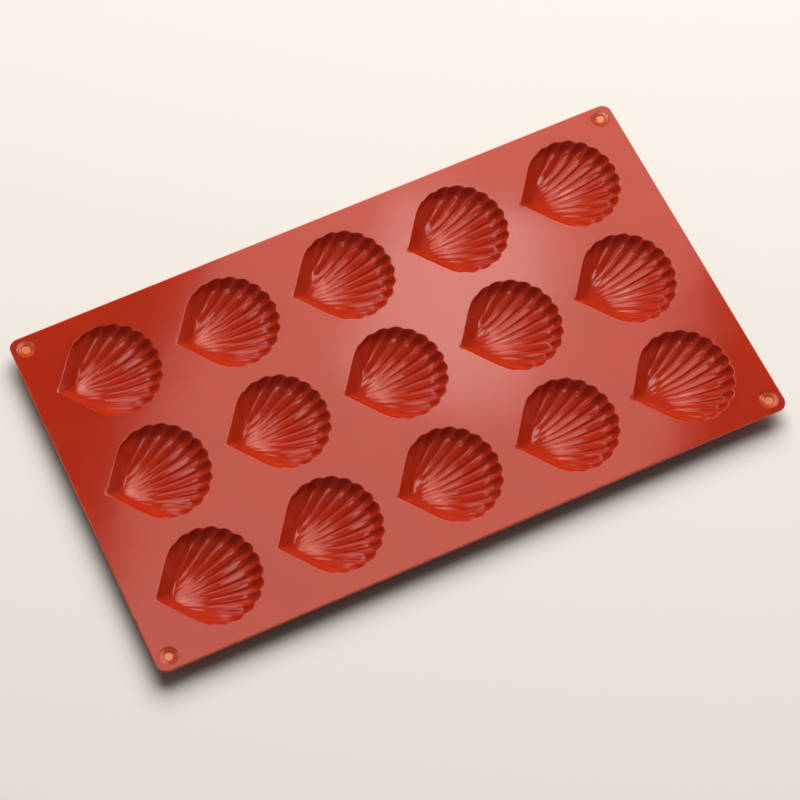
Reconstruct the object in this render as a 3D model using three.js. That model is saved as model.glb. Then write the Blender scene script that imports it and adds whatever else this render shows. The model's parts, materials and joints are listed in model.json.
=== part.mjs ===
// A silicone baking mould: a thin flat deck with rows of fluted, shell-shaped cups hanging under it.
// Millimetres, +Z up. The origin is under the middle of the deck, on the surface that the cups stand on.
// Columns run along X and rows along Y, and every shell's tip points to -X.
import * as THREE from "three";

// Pattern of cups
const columns = 5;
const rows = 3;
const columnWeb = 9.4; // deck left between two mouths along X
const rowWeb = 7.4; // deck left between two mouths along Y
const endMargin = 12.2; // deck outside the mouths at the short ends
const sideMargin = 8.7; // deck outside the mouths along the long sides

// Mouth of a cup, measured from the centre of its fan
const tipReach = 25.3;
const tipBlunt = 0.3; // how far the blunt tip stops short of the point where the two edges would meet
const edgeAngle = THREE.MathUtils.degToRad(54.5); // straight edges against the shell's axis
const fanHalfLength = 20.3; // to the ridges between the flutes
const fanHalfWidth = 22.8;
const fluteBulge = 1; // how far each flute swells past the ridges
const flutesPerTurn = 21; // flutes that would fill a full turn of the fan

// Inside of a cup: sloping walls round a floor whose flutes go on sinking from the fan's rim towards the tip
const cupDepth = 8.1; // from the deck's top to the ridges where they are deepest
const floorRun = 28; // along a ridge, from the fan's rim to where the floor is deepest
const floorRise = 0.78; // of the floor at the fan's rim, as a share of the depth
const edgeRun = 11; // from a straight edge to where the floor stops rising towards it
const edgeRise = 0.5; // of the floor at a straight edge, as a share of the depth
const fluteDepth = 1; // of the flutes under the ridges beside them, at the rim
const fluteRun = 36; // along a flute, from the rim to where it fades out
const fanWallAngle = THREE.MathUtils.degToRad(36); // wall under the fan's rim, against the deck
const edgeWallAngle = THREE.MathUtils.degToRad(56); // walls under the straight edges
const tipWallAngle = THREE.MathUtils.degToRad(44); // slope that closes the floor under the tip
const spokesFromTip = 4; // the point on the axis where the cup's spokes meet, from the tip's corner

// Skin of a cup
const cupWall = 1.5; // beside the mouth
const floorSkin = 1.9; // under the deepest ridges
const bellyFromTip = 14.5; // middle of the flat belly, from the tip's corner
const bellyShare = 0.3; // the belly's edge, as a share of the way from its middle to the rim

// Deck
const deckThickness = 1.4;
const cornerRadius = 4.5;
const foldGap = 0.5; // between two deck strips, so that the deck can fold there

// Corner eyelets
const eyeletInset = 6.5; // centre of an eyelet from both edges of the deck
const eyeletRadius = 4;
const eyeletWellRadius = 2.1;
const eyeletRecess = 0.4; // the ring's face lies this far under the deck's top
const eyeletMembrane = 0.4;
const seatGap = 0.3; // round an eyelet in its hole

// Worked out from the sizes above
const mouthLength = tipReach + fanHalfLength + fluteBulge;
const mouthWidth = 2 * (fanHalfWidth + fluteBulge);
const mouthMiddle = (fanHalfLength + fluteBulge - tipReach) / 2;
const columnPitch = mouthLength + columnWeb;
const rowPitch = mouthWidth + rowWeb;
const halfLength = ((columns - 1) * columnPitch + mouthLength) / 2 + endMargin;
const halfWidth = ((rows - 1) * rowPitch + mouthWidth) / 2 + sideMargin;
const deckTop = cupDepth + floorSkin;
const deckUnderside = deckTop - deckThickness;

// Two samples for each flute, one on its crest and one on the ridge beside it
const samples = 2 * flutesPerTurn;
const sampleAngles = Array.from({ length: samples }, (_, i) => (i * 2 * Math.PI) / samples);
const tipToFan = tipReach + tipBlunt;
const tipCorner = new THREE.Vector2(-tipToFan - mouthMiddle, 0); // where the two straight edges would meet
const spokeCentre = new THREE.Vector2(tipCorner.x + spokesFromTip, 0);
const bellyCentre = new THREE.Vector2(tipCorner.x + bellyFromTip, 0);
const insideShares = [0.12, 0.25, 0.42, 0.6, 0.76, 0.87, 0.95]; // rings of the inside, on the way to the rim
const skirtShares = [0.85, 0.62]; // rings of the outside, on the way from the belly's middle to the rim
const cornerSteps = 4; // half the segments of a rounded corner
const holeSteps = 12; // half the segments of a round hole

const silicone = new THREE.MeshStandardMaterial({ color: 0xb22a14, roughness: 0.38, metalness: 0 });
const thinSilicone = new THREE.MeshStandardMaterial({ color: 0xc86a3c, roughness: 0.42, metalness: 0 });

// Distance from the fan's centre to the mouth's rim, counted from the fan's far end round to the tip.
// The rim is the fan, swollen at the flutes, then the straight edge that cuts it off, then the blunt tip.
function rimRadius(angle, swellAt) {
  const turn = Math.abs(angle > Math.PI ? angle - 2 * Math.PI : angle);
  const fan = 1 / Math.hypot(Math.cos(turn) / fanHalfLength, Math.sin(turn) / fanHalfWidth) + swellAt(turn);
  if (turn <= edgeAngle) return fan;
  const edge = ((tipReach + tipBlunt) * Math.sin(edgeAngle)) / Math.sin(turn - edgeAngle);
  if (turn <= Math.PI / 2 + edgeAngle) return Math.min(fan, edge);
  return Math.min(edge, -tipReach / Math.cos(turn));
}

// 1 on the crest of a flute, 0 on a ridge
const fluteShare = (angle) => Math.abs(Math.cos((angle * flutesPerTurn) / 2));
const flutedSwell = (angle) => fluteBulge * fluteShare(angle);
const fullSwell = () => fluteBulge;

// The rim as points in the cup's own plan, whose origin is the middle of the mouth's length
function rimPoints(swellAt) {
  return sampleAngles.map((angle) => {
    const radius = rimRadius(angle, swellAt);
    return new THREE.Vector2(radius * Math.cos(angle) - mouthMiddle, radius * Math.sin(angle));
  });
}

// Distance from the tip's corner to the ridges' ends at the fan's rim, in the direction of a unit vector
function ridgeReach(direction) {
  const square = (direction.x / fanHalfLength) ** 2 + (direction.y / fanHalfWidth) ** 2;
  const half = (tipToFan * direction.x) / fanHalfLength ** 2;
  const rest = (tipToFan / fanHalfLength) ** 2 - 1;
  return (half + Math.sqrt(Math.max(half * half - square * rest, 0))) / square;
}

// What is left of a length after a run along it, from 1 down to 0
const fade = (run, length) => 1 - THREE.MathUtils.clamp(run / length, 0, 1);

// Share of its depth that a floor has along a run, at whose start it is raised
const shelve = (run, length, rise) => 1 - rise * fade(run, length) ** 2;

// Depth of a cup's inside under the deck's top: the fluted floor, closed by the walls under the fan's rim and
// the straight edges and by the slope under the tip. The flute's share is 1 in a flute, 0 on a ridge.
function insideDepth(point, share) {
  const fromTip = point.clone().sub(tipCorner);
  const run = Math.max(ridgeReach(fromTip.clone().normalize()) - fromTip.length(), 0);
  const edgeGap = fromTip.x * Math.sin(edgeAngle) - Math.abs(fromTip.y) * Math.cos(edgeAngle);
  const floor = cupDepth * shelve(run, floorRun, floorRise) * shelve(edgeGap, edgeRun, edgeRise);
  const flute = fluteDepth * share * fade(run, fluteRun);
  const fanWall = (run + fluteBulge * share) * Math.tan(fanWallAngle);
  const edgeWall = edgeGap * Math.tan(edgeWallAngle);
  const tipWall = fromTip.x * Math.tan(tipWallAngle);
  return Math.max(Math.min(floor + flute, fanWall, edgeWall, tipWall), deckThickness);
}

// One ring of the cup's skin: the rim drawn in to a share of its way from a centre, at a depth for each sample
function skinRing(rim, centre, share, depthAt) {
  return rim.map((point, i) => {
    const spot = centre.clone().lerp(point, share);
    return new THREE.Vector3(spot.x, spot.y, deckTop - depthAt(spot, i));
  });
}

// A closed skin over rings with equal numbers of points, drawn together to one point at each end
function closedSkin(firstPoint, rings, lastPoint) {
  const points = [firstPoint, ...rings.flat(), lastPoint];
  const count = rings[0].length;
  const at = (ring, step) => 1 + ring * count + (step % count);
  const indices = [];
  for (let step = 0; step < count; step++) {
    indices.push(0, at(0, step), at(0, step + 1));
    for (let ring = 0; ring + 1 < rings.length; ring++) {
      const [a, b] = [at(ring, step), at(ring, step + 1)];
      const [c, d] = [at(ring + 1, step), at(ring + 1, step + 1)];
      indices.push(a, c, d, a, d, b);
    }
    indices.push(at(rings.length - 1, step + 1), at(rings.length - 1, step), points.length - 1);
  }
  const geometry = new THREE.BufferGeometry().setFromPoints(points);
  geometry.setIndex(indices);
  geometry.computeVertexNormals();
  return geometry;
}

// A shell cup: fluted inside, smooth outside, with a flat belly to stand on and a flat rim under the deck
function cupGeometry() {
  const inside = rimPoints(flutedSwell);
  const pushOut = (point, distance) => {
    const spoke = point.clone().sub(bellyCentre);
    return spoke.setLength(spoke.length() + distance).add(bellyCentre);
  };
  const outside = rimPoints(fullSwell).map((point) => pushOut(point, cupWall));
  const floor = (spot, i) => insideDepth(spot, fluteShare(sampleAngles[i]));
  const underside = () => deckThickness;
  const belly = () => deckTop;
  const skirt = (spot) => insideDepth(pushOut(spot, -cupWall), 1) + cupWall / 2;
  const rings = [
    ...insideShares.map((share) => skinRing(inside, spokeCentre, share, floor)),
    skinRing(inside, spokeCentre, 1, underside),
    skinRing(outside, bellyCentre, 1, underside),
    ...skirtShares.map((share) => skinRing(outside, bellyCentre, share, skirt)),
    skinRing(outside, bellyCentre, bellyShare, belly),
  ];
  const floorPole = new THREE.Vector3(spokeCentre.x, 0, deckTop - insideDepth(spokeCentre, 0));
  const bellyPole = new THREE.Vector3(bellyCentre.x, 0, 0);
  return closedSkin(floorPole, rings, bellyPole);
}

// The points of one corner of a strip: a quarter turn, or the corner itself where it is square
function cornerPoints(centreX, centreY, radius, start) {
  if (radius === 0) return [new THREE.Vector2(centreX, centreY)];
  const turn = new THREE.Path().absarc(centreX, centreY, radius, start, start + Math.PI / 2, false);
  return turn.getPoints(cornerSteps);
}

// One strip of the deck, from left to right, with its mouths and eyelet holes cut through
function stripGeometry(left, right, leftRadius, rightRadius, mouths, eyelets) {
  const shape = new THREE.Shape([
    ...cornerPoints(right - rightRadius, halfWidth - rightRadius, rightRadius, 0),
    ...cornerPoints(left + leftRadius, halfWidth - leftRadius, leftRadius, Math.PI / 2),
    ...cornerPoints(left + leftRadius, leftRadius - halfWidth, leftRadius, Math.PI),
    ...cornerPoints(right - rightRadius, rightRadius - halfWidth, rightRadius, 1.5 * Math.PI),
  ]);
  const rim = rimPoints(flutedSwell);
  for (const mouth of mouths) {
    shape.holes.push(new THREE.Path(rim.map((point) => point.clone().add(mouth))));
  }
  for (const eyelet of eyelets) {
    const hole = new THREE.Path();
    hole.absarc(eyelet.x, eyelet.y, eyeletRadius + seatGap, 0, 2 * Math.PI, true);
    shape.holes.push(hole);
  }
  return new THREE.ExtrudeGeometry(shape, { depth: deckThickness, bevelEnabled: false, curveSegments: holeSteps });
}

// A ring with a well in its middle, closed at the bottom by the thin membrane
function eyeletGeometry() {
  const ringTop = deckThickness - eyeletRecess;
  const profile = [
    [0, 0],
    [eyeletRadius, 0],
    [eyeletRadius, ringTop],
    [eyeletWellRadius, ringTop],
    [eyeletWellRadius, eyeletMembrane],
    [0, eyeletMembrane],
  ].map(([radius, height]) => new THREE.Vector2(radius, height));
  return new THREE.LatheGeometry(profile, 2 * holeSteps).rotateX(Math.PI / 2);
}

const mould = new THREE.Group();

function place(name, geometry, material, x, y, z) {
  const mesh = new THREE.Mesh(geometry, material);
  mesh.name = name;
  mesh.position.set(x, y, z);
  mould.add(mesh);
}

const columnX = (column) => (column - (columns - 1) / 2) * columnPitch;
const rowY = (row) => ((rows - 1) / 2 - row) * rowPitch;
const eyeletX = halfLength - eyeletInset;
const eyeletY = halfWidth - eyeletInset;
const eyeletSpots = [-eyeletX, eyeletX].flatMap((x) => [eyeletY, -eyeletY].map((y) => new THREE.Vector2(x, y)));

for (let column = 0; column < columns; column++) {
  const first = column === 0;
  const last = column === columns - 1;
  const left = first ? -halfLength : columnX(column) - columnPitch / 2 + foldGap / 2;
  const right = last ? halfLength : columnX(column) + columnPitch / 2 - foldGap / 2;
  const mouths = Array.from({ length: rows }, (_, row) => new THREE.Vector2(columnX(column), rowY(row)));
  const eyelets = eyeletSpots.filter((spot) => spot.x > left && spot.x < right);
  const strip = stripGeometry(left, right, first ? cornerRadius : 0, last ? cornerRadius : 0, mouths, eyelets);
  place(`deck_strip_${column + 1}`, strip, silicone, 0, 0, deckUnderside);
  mouths.forEach((mouth, row) => {
    place(`shell_cup_r${row + 1}_c${column + 1}`, cupGeometry(), silicone, mouth.x, mouth.y, 0);
  });
}

eyeletSpots.forEach((spot, i) => {
  place(`corner_eyelet_${i + 1}`, eyeletGeometry(), thinSilicone, spot.x, spot.y, deckUnderside);
});

export default mould;
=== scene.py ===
"""Dresses the frame of a soft silicone baking mould: a thin deck with fifteen fluted shell cups under it.

Everything is in metres, in the frame's own axes: +Z up, columns along X, rows along Y, shell tips to -X.
"""
import json
import math
from collections import namedtuple

import bmesh
import bpy
from mathutils import Matrix, Vector


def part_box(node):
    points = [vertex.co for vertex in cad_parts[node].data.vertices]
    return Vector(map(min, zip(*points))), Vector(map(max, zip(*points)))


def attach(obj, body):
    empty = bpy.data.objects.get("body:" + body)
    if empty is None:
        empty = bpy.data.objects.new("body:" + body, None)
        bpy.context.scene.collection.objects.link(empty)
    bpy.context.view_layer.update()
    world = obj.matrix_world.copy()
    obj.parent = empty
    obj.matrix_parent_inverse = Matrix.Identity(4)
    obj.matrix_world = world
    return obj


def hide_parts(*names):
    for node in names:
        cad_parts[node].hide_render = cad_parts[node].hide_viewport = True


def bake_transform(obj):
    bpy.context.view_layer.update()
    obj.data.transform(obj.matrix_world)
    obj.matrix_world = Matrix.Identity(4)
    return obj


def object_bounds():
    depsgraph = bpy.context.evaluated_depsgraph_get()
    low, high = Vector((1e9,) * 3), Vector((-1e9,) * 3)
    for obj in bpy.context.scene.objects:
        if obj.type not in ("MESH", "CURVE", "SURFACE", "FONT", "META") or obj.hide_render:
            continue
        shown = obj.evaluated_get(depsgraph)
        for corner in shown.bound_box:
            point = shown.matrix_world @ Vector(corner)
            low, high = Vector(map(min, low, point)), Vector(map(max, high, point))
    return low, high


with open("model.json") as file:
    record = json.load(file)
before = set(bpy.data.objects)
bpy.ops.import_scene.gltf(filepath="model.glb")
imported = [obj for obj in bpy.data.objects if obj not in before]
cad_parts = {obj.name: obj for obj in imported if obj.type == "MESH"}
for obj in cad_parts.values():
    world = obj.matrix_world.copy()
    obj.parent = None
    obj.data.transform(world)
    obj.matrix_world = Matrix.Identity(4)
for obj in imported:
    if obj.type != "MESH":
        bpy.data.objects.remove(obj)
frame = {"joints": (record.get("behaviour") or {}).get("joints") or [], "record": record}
CAD_LOW, CAD_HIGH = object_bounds()

bl_info = {
    "name": "Silicone shell mould",
    "version": (1, 0, 0),
    "blender": (4, 5, 0),
    "location": "View3D > Sidebar > Shell mould",
    "description": "Shell cups, deck, folds and corner eyelets of a soft baking mould, with a small studio",
    "category": "Object",
}

MM = 0.001
FULL_TURN = 2 * math.pi
ORIGIN = Vector((0, 0, 0))
COLUMNS = 5
ROWS = 3
EYELETS = 4
CUPS = [f"r{row}_c{column}" for column in range(1, COLUMNS + 1) for row in range(1, ROWS + 1)]
BODY_OF_NODE = {
    node: body
    for body, nodes in frame["record"]["behaviour"]["bodies"].items()
    for node in nodes
}
DECK_TOP = CAD_HIGH.z
DECK_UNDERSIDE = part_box("deck_strip_1")[0].z
DECK_THICKNESS = DECK_TOP - DECK_UNDERSIDE


# Sizes and colours that a user would change


def length(name, description, default):
    """A length in metres, given in millimetres."""
    return bpy.props.FloatProperty(
        name=name, description=description, default=default * MM, unit="LENGTH", precision=5)


def angle(name, description, default):
    """An angle in radians, given in degrees."""
    return bpy.props.FloatProperty(
        name=name, description=description, default=math.radians(default), subtype="ANGLE")


def number(name, description, default):
    """A plain number."""
    return bpy.props.FloatProperty(name=name, description=description, default=default)


def colour(name, description, default):
    """A linear colour."""
    return bpy.props.FloatVectorProperty(
        name=name, description=description, default=default, subtype="COLOR", size=3, min=0, max=1)


class ShellCupSizes(bpy.types.PropertyGroup):
    """The shape of one shell cup, measured from the centre of its fan."""

    tip_reach: length("Tip corner", "From the fan's centre to where the straight edges would meet", 25.85)
    tip_round: length("Tip rounding", "How far the tip's rounding spreads along each straight edge", 1.1)
    edge_angle: angle("Edge angle", "Straight edges against the shell's axis", 54.5)
    fan_half_length: length("Fan half length", "To the ridges between the flutes, along the axis", 20.15)
    fan_half_width: length("Fan half width", "To the ridges between the flutes, across the axis", 22.65)
    flute_bulge: length("Flute bulge", "How far each flute swells past the ridges", 1.15)
    shoulder_round: length("Shoulder rounding", "Blend of the fan into the straight edges", 0.8)
    floor_depth: length("Floor depth", "From the deck's top to the floor's ridges at their deepest", 8.1)
    fan_run: length("Fan run", "Along a ridge, from the fan's rim to where the floor is deepest", 28.0)
    fan_rise: number("Fan rise", "Share of its depth that the floor loses up to the fan's rim", 0.78)
    edge_run: length("Edge run", "From a straight edge in to where the floor is deepest", 11.0)
    edge_rise: number("Edge rise", "Share of its depth that the floor loses up to a straight edge", 0.50)
    fan_wall: angle("Fan wall", "Slope of the ridges' wall under the fan's rim", 38.0)
    hollow_wall: angle("Hollow wall", "Slope of the hollows' wall under the fan's rim", 47.0)
    edge_wall: angle("Edge wall", "Slope of the walls under the straight edges", 56.0)
    flute_depth: length("Flute depth", "Of the hollows under the floor's ridges, at the rim", 1.0)
    flute_run: length("Flute run", "Along a hollow, from the rim to where it has faded out", 36.0)
    narrow_run: length("Narrowing", "Along a hollow, from the rim to where it is a narrow groove", 10.0)
    flute_start: length("Flute start", "From a straight edge in to where the flutes begin", 2.0)
    flute_full: length("Flute full", "From a straight edge in to where the flutes are fully deep", 8.0)
    foot_round: length("Foot rounding", "Blend of the walls into the floor", 0.9)
    lip_round: length("Lip rounding", "Blend of the walls into the deck's top", 0.28)
    hub_from_tip: length("Hub", "From the tip's corner to the point that the cup's spokes start from", 15.0)
    seam_margin: length("Seam margin", "Flat deck round the mouth that belongs to the cup", 1.8)
    skin: length("Skin", "Thickness of the cup's wall beside the mouth", 1.5)
    floor_skin: length("Floor skin", "Thickness of the cup's floor where it is deepest", 1.9)


class DeckSizes(bpy.types.PropertyGroup):
    """The flat sheet, its folds and its corner eyelets."""

    corner_radius: length("Corner radius", "Of the deck's four corners in plan", 4.5)
    edge_round: length("Edge rounding", "Of the deck's outer edges", 0.45)
    fold_half_width: length("Fold half width", "Half the width of the strip that bends", 2.5)
    eyelet_hole: length("Eyelet seat", "Radius of the deck's hole round an eyelet", 4.3)
    eyelet_ring: length("Eyelet ring", "Outer radius of the dished ring", 3.8)
    eyelet_well: length("Eyelet well", "Radius of the well in the ring", 2.1)
    eyelet_recess: length("Eyelet recess", "Depth of the ring's outer edge under the deck's top", 0.16)
    eyelet_dish: length("Eyelet dish", "Fall of the ring towards its well", 0.07)
    eyelet_hollow: length("Eyelet hollow", "Depth of the hollow under the membrane", 0.35)
    eyelet_membrane: length("Eyelet membrane", "Thickness of the membrane under the well", 0.4)


class SiliconeFinish(bpy.types.PropertyGroup):
    """Colours and gloss of the moulded silicone."""

    body: colour("Silicone", "Colour of the thick silicone", (0.37, 0.017, 0.0035))
    body_warm: colour("Warm silicone", "Where the silicone is a little lighter", (0.41, 0.023, 0.005))
    thin: colour("Thin silicone", "Where light shines through a thin edge or membrane", (0.62, 0.20, 0.08))
    roughness: number("Roughness", "Of the smooth silicone", 0.1)


class StudioSettings(bpy.types.PropertyGroup):
    """Where the camera stands, and the floor's colour."""

    lens: number("Lens", "Focal length on a 36 mm sensor, in millimetres", 135.0)
    azimuth: angle("Azimuth", "Direction that the camera looks from, round the mould", -23.25)
    elevation: angle("Elevation", "Height of the camera above the horizon", 61.43)
    roll: angle("Roll", "Turn of the camera about its own line of sight", -1.88)
    distance: length("Distance", "From the camera to the point that it aims at", 1301.9)
    aim_x: length("Aim X", "Point on the deck that the camera aims at", -3.28)
    aim_y: length("Aim Y", "Point on the deck that the camera aims at", -12.5)
    floor: colour("Floor", "Colour of the plain floor", (0.70, 0.66, 0.60))


# The shell's formula


FLUTES_PER_TURN = 21
CRESTS_BESIDE_AXIS = 7
LAST_CREST = CRESTS_BESIDE_AXIS * FULL_TURN / FLUTES_PER_TURN
# Turn past which the rim is a straight edge alone
EDGE_ONLY = math.radians(144.5)
# Rounding of the ridges at the mouth's rim, on the outer skin and on the floor
INSIDE_SOFTNESS = 0.06
OUTSIDE_SOFTNESS = 0.8
RIDGE_SOFTNESS = 0.14
# Width of a narrow groove as a share of its flute, and how fast the flutes lose their depth
GROOVE_WIDTH = 0.55
FLUTE_FADE = 1.3
# Blend of the two straight edges' walls where they meet, as a share of the distance from the tip
TIP_BLEND = 0.8

SAMPLES_PER_FLUTE = 16
SAMPLES = FLUTES_PER_TURN * SAMPLES_PER_FLUTE
FLOOR_RINGS = 28
FLOOR_MARGIN = 2.6 * MM
# Rings over the lip, in millimetres from the rim
LIP_OFFSETS = (
    -2.2, -1.85, -1.5, -1.2, -0.95, -0.72, -0.52, -0.36, -0.22, -0.1, 0.0, 0.1, 0.22, 0.36, 0.55)
OUTER_RINGS = 18

Spoke = namedtuple("Spoke", "direction reach")
CupSkin = namedtuple("CupSkin", "floor_pole rings belly_pole seam")


def smooth_min(first, second, blend):
    """The smaller of two lengths, rounded over where they come within blend of each other."""
    overlap = max(blend - abs(first - second), 0.0) / blend
    return min(first, second) - overlap * overlap * blend / 4


def smooth_max(first, second, blend):
    """The larger of two lengths, rounded over where they come within blend of each other."""
    return -smooth_min(-first, -second, blend)


def smooth_step(value):
    """A soft rise from 0 to 1 as value goes from 0 to 1."""
    share = min(max(value, 0.0), 1.0)
    return share * share * (3 - 2 * share)


def flute_share(turn, softness):
    """1 in the middle of a flute and 0 on the ridges beside it, with the ridges rounded by softness."""
    wave = math.cos(turn * FLUTES_PER_TURN / 2)
    crest = math.hypot(1, softness) - softness
    return (math.hypot(wave, softness) - softness) / crest


def straight_edge(turn, cup):
    """Distance from the fan's centre to the two straight edges and the rounded tip between them."""
    steepness = math.tan(cup.edge_angle) ** 2
    side = math.pi - turn
    square = steepness * math.cos(side) ** 2 - math.sin(side) ** 2
    linear = 2 * cup.tip_reach * steepness * math.cos(side)
    constant = steepness * cup.tip_reach ** 2 - cup.tip_round ** 2
    return 2 * constant / (linear + math.sqrt(linear ** 2 - 4 * square * constant))


def rim_radius(turn, cup, softness):
    """Distance from the fan's centre to the mouth's rim: the fluted fan, cut off by the straight edges."""
    fan = 1 / math.hypot(math.cos(turn) / cup.fan_half_length, math.sin(turn) / cup.fan_half_width)
    share = flute_share(turn, softness) if turn < LAST_CREST else 1.0
    fan += cup.flute_bulge * share
    if turn <= cup.edge_angle:
        return fan
    edge = straight_edge(turn, cup)
    if turn > EDGE_ONLY:
        return edge
    return smooth_min(fan, edge, cup.shoulder_round)


def cup_spokes(cup, softness):
    """The spokes of a cup, from its hub out to the rim, counted from the fan's far end round the mouth."""
    hub_to_fan = cup.tip_reach - cup.hub_from_tip
    spokes = []
    for sample in range(SAMPLES):
        turn = sample * FULL_TURN / SAMPLES
        radius = rim_radius(min(turn, FULL_TURN - turn), cup, softness)
        spoke = Vector((radius * math.cos(turn) + hub_to_fan, radius * math.sin(turn)))
        spokes.append(Spoke(spoke.normalized(), spoke.length))
    return spokes


def ridge_reach(heading, cup):
    """Distance from the tip's corner to the ridges' ends at the fan's rim, in one direction."""
    square = (heading.x / cup.fan_half_length) ** 2 + (heading.y / cup.fan_half_width) ** 2
    half = cup.tip_reach * heading.x / cup.fan_half_length ** 2
    rest = (cup.tip_reach / cup.fan_half_length) ** 2 - 1
    return (half + math.sqrt(max(half * half - square * rest, 0.0))) / square


def groove_share(turn):
    """1 in the middle of a narrow groove and 0 on the wide ridges beside it."""
    across = turn * FLUTES_PER_TURN / FULL_TURN
    offset = 2 * abs(across - round(across))
    return 0.5 + 0.5 * math.cos(math.pi * min(offset / GROOVE_WIDTH, 1.0))


def flute_profile(turn, run, cup):
    """1 in the middle of a flute, 0 on the ridges, which are sharp at the rim and widen towards the tip."""
    lobe = flute_share(turn, RIDGE_SOFTNESS)
    return lobe + (groove_share(turn) - lobe) * smooth_step(run / cup.narrow_run)


def fade(run, full_run):
    """1 at the rim, 0 after a full run."""
    return 1 - min(max(run / full_run, 0.0), 1.0)


def shelve(run, full_run, rise):
    """Share of its depth that the floor has at a run from a rim, where it has lost a rise of it."""
    return 1 - rise * fade(run, full_run) ** 2


def bowl_depth(point, cup, fluted):
    """Depth of a cup's bowl at a point seen from the tip's corner, below 0 outside its walls."""
    heading = point.normalized()
    reach = ridge_reach(heading, cup)
    run = reach - point.length
    turn = 0.0
    if fluted:
        turn = min(abs(math.atan2(heading.y * reach, heading.x * reach - cup.tip_reach)), LAST_CREST)
    along = point.x * math.sin(cup.edge_angle)
    aside = point.y * math.cos(cup.edge_angle)
    edge_gap = smooth_min(along - aside, along + aside, max(TIP_BLEND * along, MM))
    opening = smooth_step((edge_gap - cup.flute_start) / (cup.flute_full - cup.flute_start))
    lasting = fade(run, cup.flute_run) ** FLUTE_FADE
    flute = cup.flute_depth * opening * flute_profile(turn, run, cup) * lasting
    shelf = shelve(run, cup.fan_run, cup.fan_rise) * shelve(edge_gap, cup.edge_run, cup.edge_rise)
    share = flute_share(turn, INSIDE_SOFTNESS)
    slope = cup.fan_wall + (cup.hollow_wall - cup.fan_wall) * share
    wall = (run + cup.flute_bulge * share) * math.tan(slope)
    floor = smooth_min(cup.floor_depth * shelf + flute, wall, cup.foot_round)
    return smooth_min(floor, edge_gap * math.tan(cup.edge_wall), cup.foot_round)


def inside_depth(point, cup):
    """Depth of the cup's inside, with its rounded lip."""
    return smooth_max(bowl_depth(point, cup, True), 0.0, cup.lip_round)


def outside_depth(inner_point, cup):
    """Depth of the cup's outer skin, which stands off the inside and is flat where the cup stands."""
    bowl = bowl_depth(inner_point, cup, False)
    pad = cup.skin / 2 + (cup.floor_skin - cup.skin / 2) * smooth_step(bowl / cup.floor_depth)
    return min(smooth_max(bowl + pad, DECK_THICKNESS, cup.lip_round), DECK_TOP)


def cup_skin(cup):
    """The rings of a whole cup, from the floor over the lip to the belly, and the seam round its mouth."""
    tip_inset = cup.tip_round / math.tan(cup.edge_angle)
    mouth_length = cup.tip_reach - tip_inset + cup.fan_half_length + cup.flute_bulge
    corner_x = -mouth_length / 2 - tip_inset
    hub = Vector((cup.hub_from_tip, 0))
    inner = cup_spokes(cup, INSIDE_SOFTNESS)
    outer = cup_spokes(cup, OUTSIDE_SOFTNESS)

    def place(point, depth):
        return Vector((corner_x + point.x, point.y, DECK_TOP - depth))

    def inside_ring(share, offset):
        points = [hub + spoke.direction * ((spoke.reach + offset) * share) for spoke in inner]
        return [place(point, inside_depth(point, cup)) for point in points]

    def flat_ring(margin, depth):
        return [place(hub + spoke.direction * (spoke.reach + margin), depth) for spoke in inner]

    def outside_ring(share):
        ring = []
        for spoke in outer:
            point = hub + spoke.direction * (spoke.reach + cup.skin) * share
            inner_point = hub + spoke.direction * max((spoke.reach + cup.skin) * share - cup.skin, 0.0)
            ring.append(place(point, outside_depth(inner_point, cup)))
        return ring

    seam = flat_ring(cup.seam_margin, 0.0)
    rings = [inside_ring(step / FLOOR_RINGS, -FLOOR_MARGIN) for step in range(1, FLOOR_RINGS + 1)]
    rings += [inside_ring(1.0, offset * MM) for offset in LIP_OFFSETS]
    rings += [seam, flat_ring(cup.seam_margin, DECK_THICKNESS)]
    rings += [outside_ring(1 - step / OUTER_RINGS) for step in range(OUTER_RINGS)]
    floor_pole = place(hub, inside_depth(hub, cup))
    belly_pole = place(hub, outside_depth(hub, cup))
    return CupSkin(floor_pole, rings, belly_pole, seam)


# Modelling helpers


# A hair's turn that keeps a ring's first point, on +X itself, from being sorted last
TURN_NUDGE = 1e-4


def select_alone(obj):
    """Selects one object and makes it the active one."""
    bpy.ops.object.select_all(action="DESELECT")
    obj.select_set(True)
    bpy.context.view_layer.objects.active = obj


def edit(obj):
    """Opens one object alone in edit mode."""
    select_alone(obj)
    bpy.ops.object.mode_set(mode="EDIT")


def close_edit():
    """Leaves edit mode."""
    bpy.ops.object.mode_set(mode="OBJECT")


def apply_modifier(obj, modifier):
    """Applies a modifier to an object's own mesh."""
    select_alone(obj)
    bpy.ops.object.modifier_apply(modifier=modifier.name)


def copy_of(obj, name, place=ORIGIN):
    """A copy of a piece with its own mesh, moved to its place inside that mesh."""
    twin = obj.copy()
    twin.data = obj.data.copy()
    twin.name = name
    twin.data.name = name
    twin.data.transform(Matrix.Translation(place))
    bpy.context.scene.collection.objects.link(twin)
    return twin


def order_round(vertices, centre):
    """Vertices sorted by their direction from a centre, counted from +X."""
    def turn(vertex):
        direction = math.atan2(vertex.co.y - centre.y, vertex.co.x - centre.x)
        return (direction + TURN_NUDGE) % FULL_TURN

    return sorted(vertices, key=turn)


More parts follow.
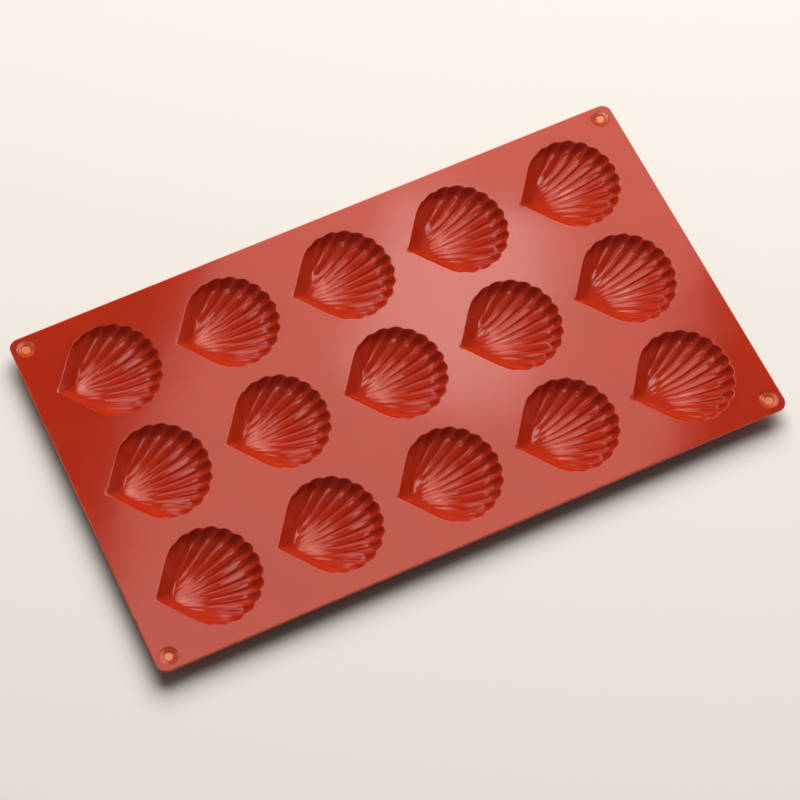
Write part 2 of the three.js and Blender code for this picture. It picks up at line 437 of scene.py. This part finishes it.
def skin_over_rings(name, first_pole, rings, last_pole):
    """A closed skin: a disc whose rim is extruded from ring to ring and drawn together at the last pole."""
    bpy.ops.object.select_all(action="DESELECT")
    bpy.ops.mesh.primitive_circle_add(
        vertices=len(rings[0]), radius=MM, fill_type="TRIFAN", location=ORIGIN)
    obj = bpy.context.object
    obj.name = name
    obj.data.name = name
    edit(obj)
    bpy.ops.mesh.select_mode(type="VERT")
    bpy.ops.mesh.select_all(action="DESELECT")
    mesh = bmesh.from_edit_mesh(obj.data)
    hub = min(mesh.verts, key=lambda v: v.co.length)
    rim = order_round([v for v in mesh.verts if v is not hub], hub.co)
    hub.co = first_pole
    for vertex, point in zip(rim, rings[0]):
        vertex.co = point
    for line in mesh.edges:
        line.select_set(line.is_boundary)
    bmesh.update_edit_mesh(obj.data)
    for ring in rings[1:]:
        bpy.ops.mesh.extrude_edges_move()
        mesh = bmesh.from_edit_mesh(obj.data)
        rim = order_round([v for v in mesh.verts if v.select], first_pole)
        for vertex, point in zip(rim, ring):
            vertex.co = point
    bpy.ops.mesh.extrude_edges_move()
    bpy.ops.mesh.merge(type="CENTER")
    mesh = bmesh.from_edit_mesh(obj.data)
    next(v for v in mesh.verts if v.select).co = last_pole
    bpy.ops.mesh.select_all(action="SELECT")
    bpy.ops.mesh.normals_make_consistent(inside=False)
    close_edit()
    return obj


def shade(obj, sharp_angle):
    """Smooth shading that keeps edges sharper than an angle in degrees."""
    select_alone(obj)
    bpy.ops.object.shade_smooth_by_angle(angle=math.radians(sharp_angle))


def finish_piece(obj, material, painted_glow_at):
    """Gives a piece its material and its share of painted glow, light shining through thin silicone, at
    each point.
    """
    obj.data.materials.clear()
    obj.data.materials.append(material)
    # Painted glow: share of paler colour standing in for light shining through thin silicone
    thinness = obj.data.attributes.new("thinness", "FLOAT", "POINT")
    for value, vertex in zip(thinness.data, obj.data.vertices):
        value.value = painted_glow_at(vertex.co)


def place_of(node):
    """Middle of a node's box in plan, at the height of the origin."""
    low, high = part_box(node)
    middle = (Vector(low) + Vector(high)) / 2
    return Vector((middle.x, middle.y, 0))


# Silicone


# How far the handled silicone is smoother or rougher than its mean
SMOOTHER = 0.02
ROUGHER = 0.03


def silicone_material():
    """Satin silicone: faint mottling, soft orange-peel, slow waves, and a painted glow of light through
    thin parts.
    """
    known = bpy.data.materials.get("satin_silicone")
    if known:
        return known
    look = bpy.context.scene.silicone_finish
    material = bpy.data.materials.new("satin_silicone")
    material.use_nodes = True
    nodes = material.node_tree.nodes
    links = material.node_tree.links
    nodes.clear()
    output = nodes.new("ShaderNodeOutputMaterial")
    shader = nodes.new("ShaderNodeBsdfPrincipled")
    place = nodes.new("ShaderNodeTexCoord")
    links.new(shader.outputs["BSDF"], output.inputs["Surface"])
    shader.inputs["IOR"].default_value = 1.41
    shader.inputs["Subsurface Weight"].default_value = 1.0
    shader.inputs["Subsurface Radius"].default_value = (1.0, 0.3, 0.15)
    shader.inputs["Subsurface Scale"].default_value = 2.2 * MM

    def noise(scale, detail, roughness):
        node = nodes.new("ShaderNodeTexNoise")
        node.inputs["Scale"].default_value = scale
        node.inputs["Detail"].default_value = detail
        node.inputs["Roughness"].default_value = roughness
        links.new(place.outputs["Object"], node.inputs["Vector"])
        return node

    def colour_mix():
        node = nodes.new("ShaderNodeMix")
        node.data_type = "RGBA"
        return node

    def bump(height, distance):
        node = nodes.new("ShaderNodeBump")
        node.inputs["Strength"].default_value = 1.0
        node.inputs["Distance"].default_value = distance
        links.new(height.outputs["Fac"], node.inputs["Height"])
        return node

    mottle = noise(scale=60.0, detail=3.0, roughness=0.55)
    tint = colour_mix()
    tint.inputs["A"].default_value = (*look.body, 1)
    tint.inputs["B"].default_value = (*look.body_warm, 1)
    links.new(mottle.outputs["Fac"], tint.inputs["Factor"])

    # Painted glow: paler colour mixed in where light would shine through thin silicone
    thinness = nodes.new("ShaderNodeAttribute")
    thinness.attribute_name = "thinness"
    painted_glow_mix = colour_mix()
    painted_glow_mix.inputs["B"].default_value = (*look.thin, 1)
    links.new(thinness.outputs["Fac"], painted_glow_mix.inputs["Factor"])
    links.new(tint.outputs["Result"], painted_glow_mix.inputs["A"])
    links.new(painted_glow_mix.outputs["Result"], shader.inputs["Base Color"])

    handling = noise(scale=35.0, detail=4.0, roughness=0.6)
    gloss = nodes.new("ShaderNodeMapRange")
    gloss.inputs["From Min"].default_value = 0.3
    gloss.inputs["From Max"].default_value = 0.7
    gloss.inputs["To Min"].default_value = look.roughness - SMOOTHER
    gloss.inputs["To Max"].default_value = look.roughness + ROUGHER
    links.new(handling.outputs["Fac"], gloss.inputs["Value"])
    links.new(gloss.outputs["Result"], shader.inputs["Roughness"])

    waves = bump(noise(scale=14.0, detail=1.0, roughness=0.4), distance=0.5 * MM)
    peel = bump(noise(scale=900.0, detail=2.0, roughness=0.5), distance=0.006 * MM)
    links.new(waves.outputs["Normal"], peel.inputs["Normal"])
    links.new(peel.outputs["Normal"], shader.inputs["Normal"])
    return material


# Cups


CUP_SHARP_ANGLE = 55


class SHELLMOULD_OT_cups(bpy.types.Operator):
    """Model one shell cup and set a copy in each of the deck's fifteen places"""

    bl_idname = "shell_mould.cups"
    bl_label = "Shell cups"

    def execute(self, context):
        skin = cup_skin(context.scene.shell_cup)
        pattern = skin_over_rings("shell_cup_pattern", skin.floor_pole, skin.rings, skin.belly_pole)
        shade(pattern, CUP_SHARP_ANGLE)
        finish_piece(pattern, silicone_material(), lambda point: 0.0)
        for cup in CUPS:
            node = f"shell_cup_{cup}"
            piece = copy_of(pattern, f"fluted_cup_{cup}", place_of(node))
            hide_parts(node)
            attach(piece, BODY_OF_NODE[node])
        bpy.data.objects.remove(pattern)
        return {"FINISHED"}


# Deck


CORNER_SEGMENTS = 12
EDGE_SEGMENTS = 4
CIRCLE_SAMPLES = 64
CUTTER_OVERSHOOT = 2 * MM
BEND_CUTS = 11
DECK_SHARP_ANGLE = 35
FLAT_FACE_WEIGHT = 100
# Share of the painted glow, light shining through the thin edge, along the deck's rim
RIM_PAINTED_GLOW = 0.55


def rounded_plate(deck):
    """The whole deck as one plate with round corners and rounded edges."""
    bpy.ops.object.select_all(action="DESELECT")
    middle = Vector((
        (CAD_LOW.x + CAD_HIGH.x) / 2, (CAD_LOW.y + CAD_HIGH.y) / 2, (DECK_TOP + DECK_UNDERSIDE) / 2))
    size = (CAD_HIGH.x - CAD_LOW.x, CAD_HIGH.y - CAD_LOW.y, DECK_THICKNESS)
    bpy.ops.mesh.primitive_cube_add(size=1, location=middle, scale=size)
    plate = bpy.context.object
    plate.name = "deck_plate"
    bpy.ops.object.transform_apply(location=True, rotation=True, scale=True)
    edit(plate)

    def select_edges(wanted):
        bpy.ops.mesh.select_all(action="DESELECT")
        mesh = bmesh.from_edit_mesh(plate.data)
        for line in mesh.edges:
            line.select_set(wanted(line))
        bmesh.update_edit_mesh(plate.data)

    def stands(line):
        first, second = line.verts
        return abs(first.co.z - second.co.z) > DECK_THICKNESS / 2

    bpy.ops.mesh.select_mode(type="EDGE")
    select_edges(stands)
    bpy.ops.mesh.bevel(
        offset=deck.corner_radius, offset_type="OFFSET", segments=CORNER_SEGMENTS, affect="EDGES")
    select_edges(lambda line: not stands(line))
    bpy.ops.mesh.bevel(
        offset=deck.edge_round, offset_type="OFFSET", segments=EDGE_SEGMENTS, affect="EDGES")
    close_edit()
    return plate


def circle_points(radius, height):
    """Points round a circle about the Z axis."""
    turns = [sample * (FULL_TURN / CIRCLE_SAMPLES) for sample in range(CIRCLE_SAMPLES)]
    return [Vector((radius * math.cos(turn), radius * math.sin(turn), height)) for turn in turns]


def cutter_of(loop, place, name):
    """A prism on a loop of points that reaches through the deck."""
    high = [Vector((p.x, p.y, DECK_TOP + CUTTER_OVERSHOOT)) + place for p in loop]
    low = [Vector((p.x, p.y, DECK_UNDERSIDE - CUTTER_OVERSHOOT)) + place for p in loop]
    middle = sum(high, ORIGIN) / len(high)
    return skin_over_rings(name, middle, [high, low], Vector((middle.x, middle.y, low[0].z)))


def cut_openings(plate, seam, eyelet_hole):
    """Cuts the cups' places and the eyelets' seats out of the deck's plate."""
    cutters = [cutter_of(seam, place_of(f"shell_cup_{cup}"), "mouth_cutter") for cup in CUPS]
    seat = circle_points(eyelet_hole, 0)
    for corner in range(1, EYELETS + 1):
        cutters.append(cutter_of(seat, place_of(f"corner_eyelet_{corner}"), "eyelet_cutter"))
    bpy.ops.object.select_all(action="DESELECT")
    for cutter in cutters:
        cutter.select_set(True)
    bpy.context.view_layer.objects.active = cutters[0]
    bpy.ops.object.join()
    cut = plate.modifiers.new("openings", "BOOLEAN")
    cut.operation = "DIFFERENCE"
    cut.solver = "EXACT"
    cut.object = cutters[0]
    apply_modifier(plate, cut)
    bpy.data.objects.remove(cutters[0])


def deck_bounds(folds, half_width):
    """Places along X, in order, where the deck's panels and the folds between them begin and end."""
    bounds = [CAD_LOW.x - MM]
    for fold in folds:
        bounds += [fold["pos_m"][0] - half_width, fold["pos_m"][0] + half_width]
    bounds.append(CAD_HIGH.x + MM)
    return bounds


def slice_of(plate, name, left, right):
    """The part of the plate between two places along X, closed where it is cut."""
    piece = copy_of(plate, name)
    edit(piece)
    bpy.ops.mesh.select_all(action="SELECT")
    bpy.ops.mesh.bisect(plane_co=(left, 0, 0), plane_no=(1, 0, 0), use_fill=True, clear_inner=True)
    bpy.ops.mesh.select_all(action="SELECT")
    bpy.ops.mesh.bisect(plane_co=(right, 0, 0), plane_no=(1, 0, 0), use_fill=True, clear_outer=True)
    close_edit()
    return piece


def bend_cuts(web, left, right):
    """Edges along a fold, so that it bends in a smooth curve."""
    edit(web)
    for cut in range(1, BEND_CUTS + 1):
        place = left + (right - left) * cut / (BEND_CUTS + 1)
        bpy.ops.mesh.select_all(action="SELECT")
        bpy.ops.mesh.bisect(plane_co=(place, 0, 0), plane_no=(1, 0, 0))
    close_edit()


def finish_deck(piece, deck):
    """Flat shading on the deck's faces, smooth round its edges, and a painted glow of light through its
    thin rim.
    """
    shade(piece, DECK_SHARP_ANGLE)
    flat = piece.modifiers.new("flat_faces", "WEIGHTED_NORMAL")
    flat.keep_sharp = True
    flat.weight = FLAT_FACE_WEIGHT
    apply_modifier(piece, flat)

    # Painted glow: the outer half of the rounded rim is painted paler, as light shining through the thin
    # edge
    def rim_painted_glow(point):
        edge_gap = min(
            point.x - CAD_LOW.x, CAD_HIGH.x - point.x, point.y - CAD_LOW.y, CAD_HIGH.y - point.y)
        return RIM_PAINTED_GLOW if edge_gap < deck.edge_round / 2 else 0.0

    finish_piece(piece, silicone_material(), rim_painted_glow)


class SHELLMOULD_OT_deck(bpy.types.Operator):
    """Cut the deck's plate round the cups and eyelets and part it into panels and the fold strips between
    them
    """

    bl_idname = "shell_mould.deck"
    bl_label = "Deck panels and folds"

    def execute(self, context):
        deck = context.scene.mould_deck
        plate = rounded_plate(deck)
        cut_openings(plate, cup_skin(context.scene.shell_cup).seam, deck.eyelet_hole)
        folds = sorted(frame["joints"], key=lambda joint: joint["pos_m"][0])
        bounds = deck_bounds(folds, deck.fold_half_width)
        for column in range(1, COLUMNS + 1):
            node = f"deck_strip_{column}"
            left, right = bounds[2 * column - 2], bounds[2 * column - 1]
            strip = slice_of(plate, f"deck_panel_{column}", left, right)
            finish_deck(strip, deck)
            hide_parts(node)
            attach(strip, BODY_OF_NODE[node])
        for column, fold in enumerate(folds, start=1):
            left, right = bounds[2 * column - 1], bounds[2 * column]
            web = slice_of(plate, f"fold_web_{column}", left, right)
            bend_cuts(web, left, right)
            finish_deck(web, deck)
            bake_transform(web)
        bpy.data.objects.remove(plate)
        return {"FINISHED"}


# Eyelets


EYELET_ROUND = 0.3 * MM
EYELET_SHARP_ANGLE = 50
# Shares of the painted glow, light shining through thin silicone, on the eyelet's membrane and ring
MEMBRANE_PAINTED_GLOW = 1.0
RING_PAINTED_GLOW = 0.2


def eyelet_profile(deck, web_top, web_under):
    """Radius and height along an eyelet's section, from its membrane over the ring to the underside."""
    well, ring, hole = deck.eyelet_well, deck.eyelet_ring, deck.eyelet_hole
    ring_edge = DECK_TOP - deck.eyelet_recess
    well_edge = ring_edge - deck.eyelet_dish
    bend = EYELET_ROUND / 3
    bend_drop = EYELET_ROUND / 6
    rim_drop = EYELET_ROUND / 8
    return [
        (well / 2, web_top),
        (well - EYELET_ROUND, web_top),
        (well - bend, web_top + bend_drop),
        (well + bend, well_edge - bend_drop),
        (well + EYELET_ROUND, well_edge),
        (ring - EYELET_ROUND, ring_edge),
        (ring, ring_edge + rim_drop),
        (hole - EYELET_ROUND, DECK_TOP - rim_drop),
        (hole - bend, DECK_TOP),
        (hole, DECK_TOP),
        (hole, DECK_UNDERSIDE),
        (well + EYELET_ROUND, DECK_UNDERSIDE),
        (well, web_under),
        (well / 2, web_under),
    ]


class SHELLMOULD_OT_eyelets(bpy.types.Operator):
    """Model one eyelet, a dished ring with a thin membrane across its well, and copy it to each corner"""

    bl_idname = "shell_mould.eyelets"
    bl_label = "Corner eyelets"

    def execute(self, context):
        deck = context.scene.mould_deck
        web_under = DECK_UNDERSIDE + deck.eyelet_hollow
        web_top = web_under + deck.eyelet_membrane
        profile = eyelet_profile(deck, web_top, web_under)
        rings = [circle_points(radius, height) for radius, height in profile]
        pattern = skin_over_rings(
            "eyelet_pattern", Vector((0, 0, web_top)), rings, Vector((0, 0, web_under)))
        shade(pattern, EYELET_SHARP_ANGLE)

        # Painted glow: the membrane and ring are painted paler, as light shining through thin silicone
        def eyelet_painted_glow(point):
            radius = math.hypot(point.x, point.y)
            if radius < deck.eyelet_well - EYELET_ROUND / 2:
                return MEMBRANE_PAINTED_GLOW
            if radius < deck.eyelet_ring + EYELET_ROUND:
                return RING_PAINTED_GLOW
            return 0.0

        finish_piece(pattern, silicone_material(), eyelet_painted_glow)
        for corner in range(1, EYELETS + 1):
            node = f"corner_eyelet_{corner}"
            piece = copy_of(pattern, f"eyelet_{corner}", place_of(node))
            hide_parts(node)
            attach(piece, BODY_OF_NODE[node])
        bpy.data.objects.remove(pattern)
        return {"FINISHED"}


# Stage


FLOOR_SIZE = 8
SENSOR_WIDTH = 36
# A flat lamp's energy for each unit of its radiance and area
ENERGY_PER_RADIANCE = 4
WHITE = (1.0, 1.0, 1.0)
WARM = (1.0, 0.62, 0.52)
PALE_WARM = (1.0, 0.85, 0.8)
# Height of the cards that hang level over the deck, and the turn of the soft box's long side
CARD_HEIGHT = 0.710
SOFT_BOX_SPIN = math.atan2(-0.6, 0.8)
SOFT_BOX_PLACE = Vector((0.170, 0.343, CARD_HEIGHT))
SOFT_BOX_CORE_PLACE = SOFT_BOX_PLACE + Vector((0.05, 0.06, 0.004))


def lay_floor(studio):
    """A wide plain floor under the cups."""
    bpy.ops.object.select_all(action="DESELECT")
    bpy.ops.mesh.primitive_plane_add(size=FLOOR_SIZE, location=(0, 0, CAD_LOW.z))
    floor = bpy.context.object
    floor.name = "floor"
    material = bpy.data.materials.new("plain_floor")
    material.use_nodes = True
    shader = material.node_tree.nodes["Principled BSDF"]
    shader.inputs["Base Color"].default_value = (*studio.floor, 1)
    shader.inputs["Roughness"].default_value = 0.9
    shader.inputs["Specular IOR Level"].default_value = 0.1
    floor.data.materials.append(material)


def area_light(name, place, aim, size, radiance, spin=0.0, tint=WHITE):
    """A flat lamp of a given radiance that faces a point."""
    data = bpy.data.lights.new(name, "AREA")
    data.shape = "RECTANGLE"
    data.size, data.size_y = size
    data.energy = ENERGY_PER_RADIANCE * radiance * size[0] * size[1]
    data.color = tint
    lamp = bpy.data.objects.new(name, data)
    lamp.matrix_world = (
        Matrix.Translation(place)
        @ (aim - place).to_track_quat("-Z", "Y").to_matrix().to_4x4()
        @ Matrix.Rotation(spin, 4, "Z"))
    lamp.visible_camera = False
    bpy.context.scene.collection.objects.link(lamp)
    return lamp


def level_card(name, place, size, radiance, spin=0.0, tint=WARM):
    """A flat lamp that hangs level and faces down."""
    return area_light(name, place, place - Vector((0, 0, 1)), size, radiance, spin, tint)


def hang_lights():
    """A soft box whose reflection lies on the deck, cards that the cups reflect, and a key lamp."""
    cards = [
        level_card(
            "soft_box", place=SOFT_BOX_PLACE, size=(0.363, 0.66), radiance=3.7, spin=SOFT_BOX_SPIN),
        level_card(
            "soft_box_core", place=SOFT_BOX_CORE_PLACE, size=(0.12, 0.16), radiance=3.7,
            spin=SOFT_BOX_SPIN, tint=PALE_WARM),
        level_card(
            "near_card", place=Vector((0.04, -0.04, CARD_HEIGHT)), size=(0.28, 0.30), radiance=0.4),
        level_card(
            "right_card", place=Vector((0.69, -0.02, CARD_HEIGHT)), size=(0.45, 0.25), radiance=4.5,
            spin=math.radians(-37.6), tint=WHITE),
        area_light(
            "left_card", place=Vector((-0.45, 0.36, 0.70)), aim=ORIGIN, size=(0.24, 0.32), radiance=2.6),
        area_light(
            "back_card", place=Vector((-0.15, 1.05, 0.50)), aim=ORIGIN, size=(0.5, 0.5), radiance=1.6),
    ]
    for card in cards:
        card.visible_diffuse = False
    key = area_light(
        "key_lamp", place=Vector((0.65, 0.963, 1.659)), aim=ORIGIN, size=(1.95, 1.95), radiance=4.85)
    key.visible_glossy = False


def fill_world():
    """A faint even light from all round."""
    world = bpy.data.worlds.new("studio")
    world.use_nodes = True
    fill = world.node_tree.nodes["Background"]
    fill.inputs["Color"].default_value = (*WHITE, 1)
    fill.inputs["Strength"].default_value = 0.1
    bpy.context.scene.world = world


def set_camera(studio):
    """The camera, from its direction, distance and roll round the point that it aims at."""
    flat = math.cos(studio.elevation)
    sight = Vector((
        -math.sin(studio.azimuth) * flat, math.cos(studio.azimuth) * flat, -math.sin(studio.elevation)))
    level = Vector((math.cos(studio.azimuth), math.sin(studio.azimuth), 0))
    upright = level.cross(sight)
    right = level * math.cos(studio.roll) + upright * math.sin(studio.roll)
    up = upright * math.cos(studio.roll) - level * math.sin(studio.roll)
    aim = Vector((studio.aim_x, studio.aim_y, DECK_TOP))
    data = bpy.data.cameras.new("camera")
    data.lens = studio.lens
    data.sensor_width = SENSOR_WIDTH
    camera = bpy.data.objects.new("camera", data)
    turn = Matrix((right, up, -sight)).transposed().to_4x4()
    camera.matrix_world = Matrix.Translation(aim - sight * studio.distance) @ turn
    bpy.context.scene.collection.objects.link(camera)
    bpy.context.scene.camera = camera


class SHELLMOULD_OT_stage(bpy.types.Operator):
    """Set a plain floor, the studio's lights and the camera"""

    bl_idname = "shell_mould.stage"
    bl_label = "Stage"

    def execute(self, context):
        studio = context.scene.mould_studio
        context.scene.view_settings.view_transform = "Standard"
        lay_floor(studio)
        hang_lights()
        fill_world()
        set_camera(studio)
        return {"FINISHED"}


# Add-on


class SHELLMOULD_PT_panel(bpy.types.Panel):
    """The mould's sizes, finish and pieces in the sidebar"""

    bl_idname = "SHELLMOULD_PT_panel"
    bl_label = "Shell mould"
    bl_space_type = "VIEW_3D"
    bl_region_type = "UI"
    bl_category = "Shell mould"

    def draw(self, context):
        for group in GROUPS:
            settings = getattr(context.scene, group)
            box = self.layout.box()
            for name in settings.bl_rna.properties.keys():
                if name not in ("rna_type", "name"):
                    box.prop(settings, name)
        for operator in OPERATORS:
            self.layout.operator(operator.bl_idname)


GROUPS = {
    "shell_cup": ShellCupSizes,
    "mould_deck": DeckSizes,
    "silicone_finish": SiliconeFinish,
    "mould_studio": StudioSettings,
}
OPERATORS = (SHELLMOULD_OT_cups, SHELLMOULD_OT_deck, SHELLMOULD_OT_eyelets, SHELLMOULD_OT_stage)


def register():
    """Registers the classes and hangs the settings on the scene."""
    for name, group in GROUPS.items():
        bpy.utils.register_class(group)
        setattr(bpy.types.Scene, name, bpy.props.PointerProperty(type=group))
    for operator in OPERATORS:
        bpy.utils.register_class(operator)
    bpy.utils.register_class(SHELLMOULD_PT_panel)


def unregister():
    """Takes the classes and settings away again."""
    bpy.utils.unregister_class(SHELLMOULD_PT_panel)
    for operator in reversed(OPERATORS):
        bpy.utils.unregister_class(operator)
    for name, group in GROUPS.items():
        delattr(bpy.types.Scene, name)
        bpy.utils.unregister_class(group)


def main():
    """Dresses the frame and sets the stage."""
    register()
    bpy.ops.shell_mould.cups()
    bpy.ops.shell_mould.deck()
    bpy.ops.shell_mould.eyelets()
    bpy.ops.shell_mould.stage()


if __name__ == "__main__":
    main()
